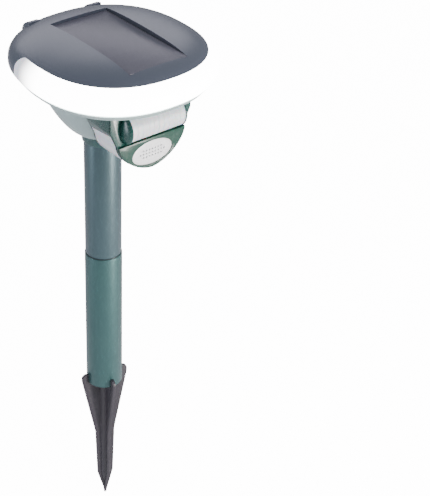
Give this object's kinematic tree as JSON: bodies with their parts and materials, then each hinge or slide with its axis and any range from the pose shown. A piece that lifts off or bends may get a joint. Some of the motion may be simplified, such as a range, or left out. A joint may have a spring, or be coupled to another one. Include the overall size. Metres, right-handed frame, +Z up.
{
  "type": "ultrasonic pest repeller",
  "caption": "Garden pest repeller on a ground stake: a turning solar head with a lit band, motion sensor lens, oval sounder grille, rear dials and battery door on a two-part pole.",
  "frame": {"origin": "on the pole's axis at ground level, where the lower tube stands on the stake's blades", "axes": "+Z up along the pole, and the front with the sensor module faces -Y"},
  "size_m": [0.1766, 0.185, 0.5642],
  "materials": {
    "stake_plastic": "satin",
    "pole_enamel": "satin",
    "joiner_plastic": "matt",
    "housing_plastic": "satin",
    "plate_plastic": "satin",
    "cover_plastic": "satin",
    "diffuser_plastic": "frosted",
    "window_plastic": "frosted",
    "grille_plastic": "satin",
    "panel_glass": "satin",
    "silicon": "satin",
    "circuit_board": "satin",
    "led_package": "satin",
    "dark_plastic": "matt",
    "steel": "bright zinc",
    "battery_wrap": "gloss"
  },
  "bodies": {
    "pole": {"ground_stake": "stake_plastic", "lower_tube": "pole_enamel", "upper_tube": "pole_enamel", "tube_joiner": "joiner_plastic"},
    "head": {"neck_collar": "housing_plastic", "lower_bowl": "housing_plastic", "base_tray": "housing_plastic", "top_cover": "cover_plastic", "band_lens": "diffuser_plastic", "light_strip": "circuit_board", "strip_leds": "led_package", "solar_backing": "circuit_board", "solar_cells": "silicon", "solar_glass": "panel_glass", "lug_left": "cover_plastic", "lug_right": "cover_plastic", "case_screws": "steel", "main_board": "circuit_board", "sensor_housing": "housing_plastic", "window_left": "window_plastic", "window_right": "window_plastic", "sensor_fascia": "housing_plastic", "front_plate": "plate_plastic", "plate_screws_set": "steel", "speaker_grille": "grille_plastic", "sounder": "dark_plastic", "motion_lens": "window_plastic", "cap_left": "housing_plastic", "cap_right": "housing_plastic", "motion_sensor": "steel", "sensor_board": "circuit_board", "control_pod": "housing_plastic", "mode_control": "steel", "range_control": "steel", "battery_box": "dark_plastic", "battery_a": "battery_wrap", "battery_b": "battery_wrap", "battery_c": "battery_wrap", "battery_contacts": "steel"},
    "battery_door": {"battery_door": "housing_plastic"},
    "mode_knob": {"mode_knob": "dark_plastic"},
    "range_knob": {"range_knob": "dark_plastic"}
  },
  "joints": [
    {"name": "head_turn", "type": "hinge", "parent": "pole", "child": "head", "pos_m": [0, 0, 0.2974], "axis": [0, 0, 1], "continuous": true},
    {"name": "battery_door_hinge", "type": "hinge", "parent": "head", "child": "battery_door", "pos_m": [0, 0.0582, 0.3476], "axis": [1, 0, 0], "range_deg": [0, 90]},
    {"name": "mode_dial", "type": "hinge", "parent": "head", "child": "mode_knob", "pos_m": [-0.03075, 0.058, 0.3385], "axis": [0, 1, 0], "range_deg": [-135, 135]},
    {"name": "range_dial", "type": "hinge", "parent": "head", "child": "range_knob", "pos_m": [0.03075, 0.058, 0.3385], "axis": [0, 1, 0], "range_deg": [-135, 135]}
  ]
}
